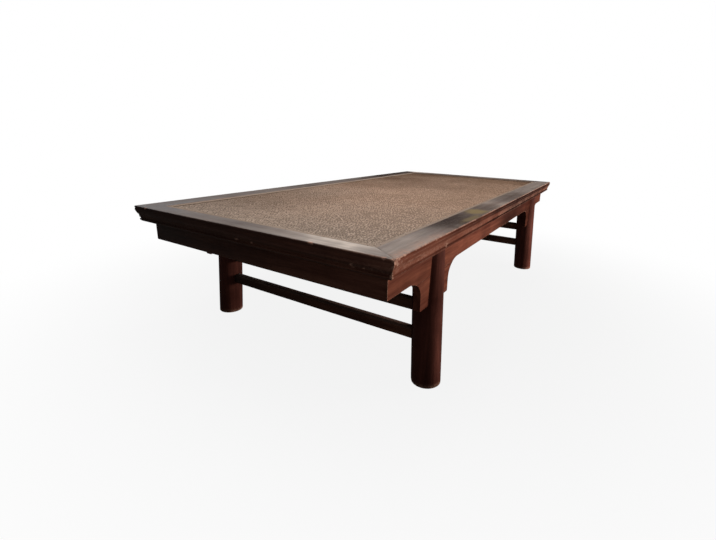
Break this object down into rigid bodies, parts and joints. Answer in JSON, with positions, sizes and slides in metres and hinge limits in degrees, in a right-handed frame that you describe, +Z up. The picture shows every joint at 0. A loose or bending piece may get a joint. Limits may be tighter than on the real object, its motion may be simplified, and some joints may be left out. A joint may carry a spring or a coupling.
{
  "type": "kang table",
  "caption": "Long low kang table: moulded frame round a woven cane top, recessed round legs let in round spandrelled aprons, paired end stretchers.",
  "frame": {"origin": "on the floor under the middle of the table", "axes": "+X along the table's length, +Y across it to the back, +Z up"},
  "size_m": [1.639, 0.8354, 0.4],
  "materials": {
    "lacquered_wood": "dark brown lacquer, worn",
    "cane_mat": "plaited split cane, satin",
    "panel_wood": "bare planed wood",
    "bamboo": "split bamboo, oiled"
  },
  "bodies": {
    "root": {"frame_rail_front": "lacquered_wood", "frame_rail_back": "lacquered_wood", "frame_rail_left": "lacquered_wood", "frame_rail_right": "lacquered_wood", "apron_front": "lacquered_wood", "apron_back": "lacquered_wood", "apron_left": "lacquered_wood", "apron_right": "lacquered_wood", "spandrel_front_left": "lacquered_wood", "spandrel_front_right": "lacquered_wood", "spandrel_back_left": "lacquered_wood", "spandrel_back_right": "lacquered_wood", "leg_front_left": "lacquered_wood", "leg_front_right": "lacquered_wood", "leg_back_left": "lacquered_wood", "leg_back_right": "lacquered_wood", "stretcher_left_upper": "lacquered_wood", "stretcher_left_lower": "lacquered_wood", "stretcher_right_upper": "lacquered_wood", "stretcher_right_lower": "lacquered_wood", "corner_pegs": "lacquered_wood", "panel_board_front": "panel_wood", "panel_board_middle": "panel_wood", "panel_board_back": "panel_wood", "batten_left": "panel_wood", "batten_middle": "panel_wood", "batten_right": "panel_wood", "woven_mat": "cane_mat", "mat_strip_front": "bamboo", "mat_strip_back": "bamboo", "mat_strip_left": "bamboo", "mat_strip_right": "bamboo", "strip_pins": "bamboo"}
  },
  "joints": []
}
